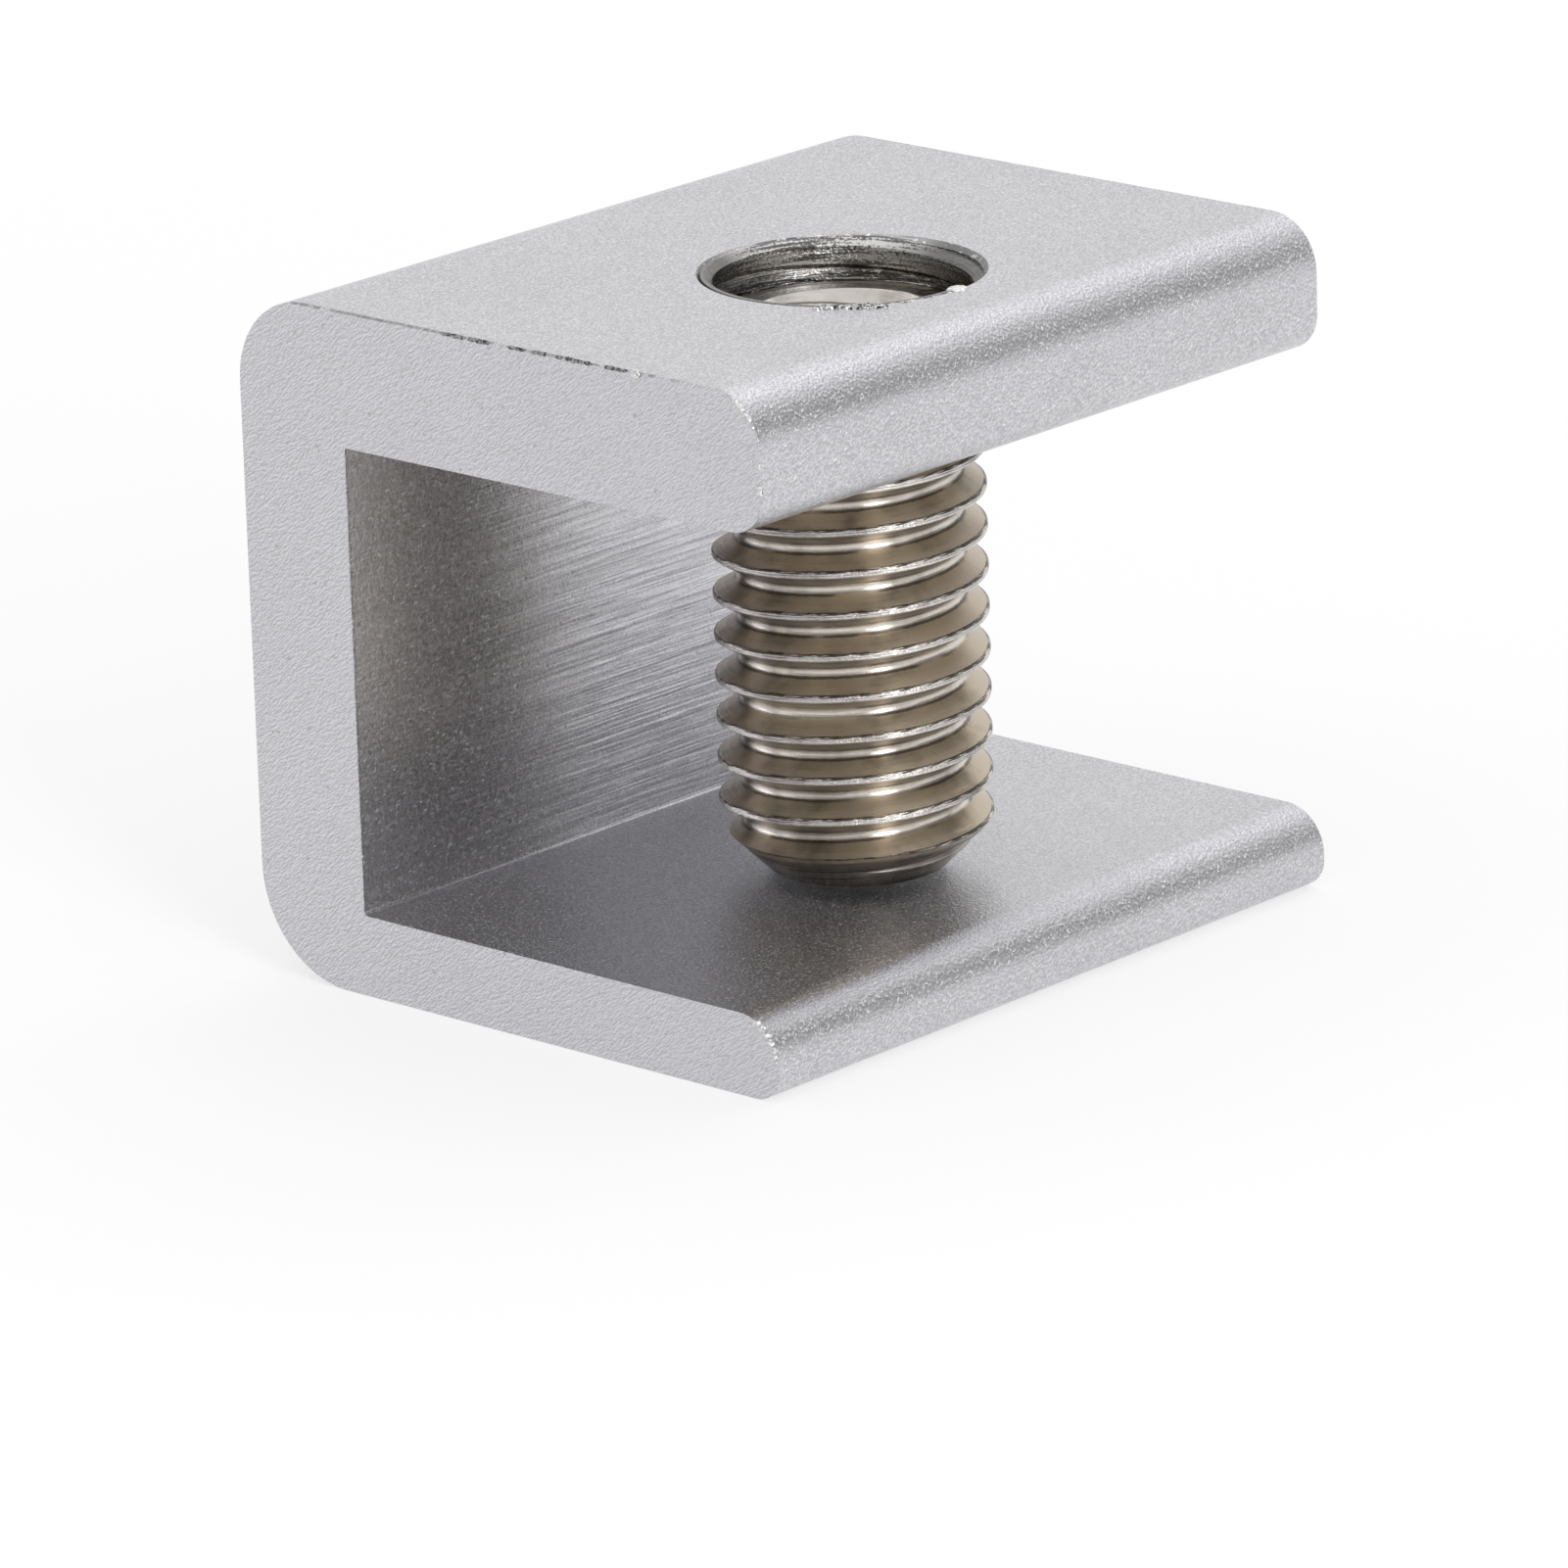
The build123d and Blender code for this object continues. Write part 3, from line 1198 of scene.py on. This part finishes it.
@dataclass
class Lamp:
    """A soft lamp or a grey card, aimed at the lock."""

    name: str
    toward: Triple
    distance: float
    width: float
    height: float
    brightness: float
    aim_height: float = 12.0

    def aim(self) -> tuple[Vector, Quaternion]:
        """Where it stands, in metres, and how it is turned to face the lock."""
        direction = Vector(self.toward).normalized()
        place = direction * self.distance + Vector(mm(0, 0, self.aim_height))
        return place, direction.to_track_quat("Z", "Y")

    def light(self) -> None:
        """Set it up as a lamp, whose brightness is that of its own surface."""
        place, turn = self.aim()
        bpy.ops.object.light_add(type="AREA", location=place, rotation=turn.to_euler())
        lamp = bpy.context.object
        lamp.name = lamp.data.name = self.name
        lamp.data.shape = "RECTANGLE"
        lamp.data.size, lamp.data.size_y = self.width, self.height
        lamp.data.energy = self.brightness * math.pi * self.width * self.height

    def card(self) -> None:
        """Set it up as a card, seen in reflections alone, whose brightness is its own shade."""
        place, turn = self.aim()
        bpy.ops.mesh.primitive_plane_add(size=1.0, location=place, rotation=turn.to_euler())
        card = bpy.context.object
        card.name = card.data.name = self.name
        card.scale = (self.width, self.height, 1)
        card.visible_camera = card.visible_diffuse = card.visible_shadow = False
        material = bpy.data.materials.new(f"{self.name}_paint")
        graph = Graph(material)
        shade = {"Color": opaque((self.brightness,) * 3), "Strength": 1.0}
        graph.surface(graph.add("ShaderNodeEmission", None, shade).outputs[0])
        card.data.materials.append(material)


@dataclass
class Studio:
    """The floor, the lamps and the camera."""

    camera_place: Triple = (229.872, -254.894, 112.574)
    camera_aim: Triple = (0.41, -1.068, 5.782)
    camera_roll: float = 1.70
    camera_lens: float = 231.605
    floor_size: float = 4.0
    fill: float = 0.85
    lamps: list[Lamp] = field(
        default_factory=lambda: [
            Lamp("back_softbox", (-0.18, 0.70, 0.69), 0.5, 0.5, 0.055, 1.3),
            Lamp("right_strip", (0.93, -0.37, 0.35), 0.45, 0.14, 0.34, 5.5),
            Lamp("left_softbox", (-0.62, -0.62, 0.55), 0.5, 0.3, 0.3, 0.12),
            Lamp("overhead_strip", (0.0, 0.455, 0.891), 0.5, 0.08, 0.22, 2.0),
        ]
    )
    cards: list[Lamp] = field(
        default_factory=lambda: [
            Lamp("right_back_card", (0.72, 0.56, 0.38), 0.55, 0.44, 0.3, 0.3),
            Lamp("high_back_card", (0.30, 0.70, 0.70), 0.6, 0.7, 0.3, 0.72),
            Lamp("left_back_card", (-0.66, 0.70, 0.30), 0.5, 0.5, 0.28, 0.9),
            Lamp("front_card", (0.26, -0.93, 0.30), 0.45, 0.8, 0.26, 0.4),
        ]
    )

    def camera(self) -> None:
        """Set up the camera."""
        place, aim = Vector(mm(*self.camera_place)), Vector(mm(*self.camera_aim))
        look = (aim - place).normalized()
        turn = Quaternion(look, math.radians(self.camera_roll)) @ look.to_track_quat("-Z", "Y")
        bpy.ops.object.camera_add(location=place, rotation=turn.to_euler())
        camera = bpy.context.object
        camera.data.lens = self.camera_lens
        camera.data.sensor_width = 36.0
        camera.data.sensor_fit = "HORIZONTAL"
        camera.data.clip_start, camera.data.clip_end = 0.01, 20.0
        bpy.context.scene.camera = camera

    def floor(self) -> None:
        """Lay the white floor, which fades into the white background further out."""
        bpy.ops.mesh.primitive_plane_add(size=self.floor_size, location=(0, 0, 0))
        floor = bpy.context.object
        floor.name = floor.data.name = "floor"
        material = bpy.data.materials.new("floor_paint")
        graph = Graph(material)
        _, x, y, _ = graph.place()
        distance = (x * x + y * y).math("SQRT")
        paint = {"Base Color": opaque((0.97, 0.97, 0.97)), "Roughness": 1.0, "Specular IOR Level": 0.0}
        near = graph.add("ShaderNodeBsdfPrincipled", None, paint).outputs[0]
        far = graph.add("ShaderNodeEmission", None, {"Strength": 1.0}).outputs[0]
        fade = 0.6 + distance.step(40, 160) * 0.4
        graph.surface(graph.add("ShaderNodeMixShader", None, {0: fade, 1: near, 2: far}).outputs[0])
        floor.data.materials.append(material)

    def world(self) -> None:
        """Light the lock evenly, with a white background for the camera and in reflections."""
        world = bpy.data.worlds.new("studio_world")
        bpy.context.scene.world = world
        graph = Graph(world)
        path = graph.add("ShaderNodeLightPath").outputs
        rays = [Value(graph, path[f"Is {kind} Ray"]) for kind in ("Camera", "Glossy", "Transmission")]
        seen = rays[0].math("MAXIMUM", rays[1]).math("MAXIMUM", rays[2])
        fill = graph.add("ShaderNodeBackground", None, {"Strength": self.fill}).outputs[0]
        white = graph.add("ShaderNodeBackground", None, {"Strength": 1.0}).outputs[0]
        for shade in (fill, white):
            shade.node.inputs["Color"].default_value = opaque((1.0, 1.0, 1.0))
        mixed = graph.add("ShaderNodeMixShader", None, {0: seen, 1: fill, 2: white}).outputs[0]
        graph.add("ShaderNodeOutputWorld", None, {"Surface": mixed})

    def build(self) -> None:
        """Set up the whole studio."""
        Workpiece.clear()
        self.camera()
        self.floor()
        self.world()
        for lamp in self.lamps:
            lamp.light()
        for card in self.cards:
            card.card()
        bpy.context.scene.view_settings.view_transform = "Standard"
        log.info("studio: %d lamps, %d cards", len(self.lamps), len(self.cards))


def main() -> None:
    """Build and dress the lock's pieces in order, then the studio."""
    logging.basicConfig(level=logging.INFO, format="%(name)s: %(message)s")
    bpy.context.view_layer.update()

    section, hole, screw, burrs = ChannelBody(), TappedHole(), SetScrew(), TornBurrs()
    aluminium = BlastedAluminium().material(section, hole)
    tapped = CutAluminium().material("tapped_aluminium_finish", hole, 1.0)
    # Copies of the torn aluminium that differ in how light they are painted: torn is painted dark as painted
    # shade on the edge lip, frayed light as painted highlights on the bright crumbs, and ragged carries
    # painted highlights and painted shadows on the rim crumbs.
    dark, light, ragged = (
        CutAluminium((bright,) * 3, (dull,) * 3).material(f"{name}_aluminium_finish", hole)
        for name, bright, dull in (("torn", 0.36, 0.06), ("frayed", 0.95, 0.6), ("ragged", 0.92, 0.05))
    )
    steel = RolledSteel().material(screw)

    body = section.build(hole).mount("section", "blasted_aluminium", aluminium)
    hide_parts("channel_body")
    hole.thread(section.top).mount("section", "blasted_aluminium", tapped)
    burrs.along_edge(section).mount("section", "blasted_aluminium", dark)
    burrs.round_rim(hole, section).mount("section", "blasted_aluminium", ragged)
    burrs.bright_specks(hole, section).mount("section", "blasted_aluminium", light)
    dressed_screw = screw.build().mount("screw", "plated_steel", steel)
    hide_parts("set_screw")

    Studio().build()


if __name__ == "__main__":
    main()
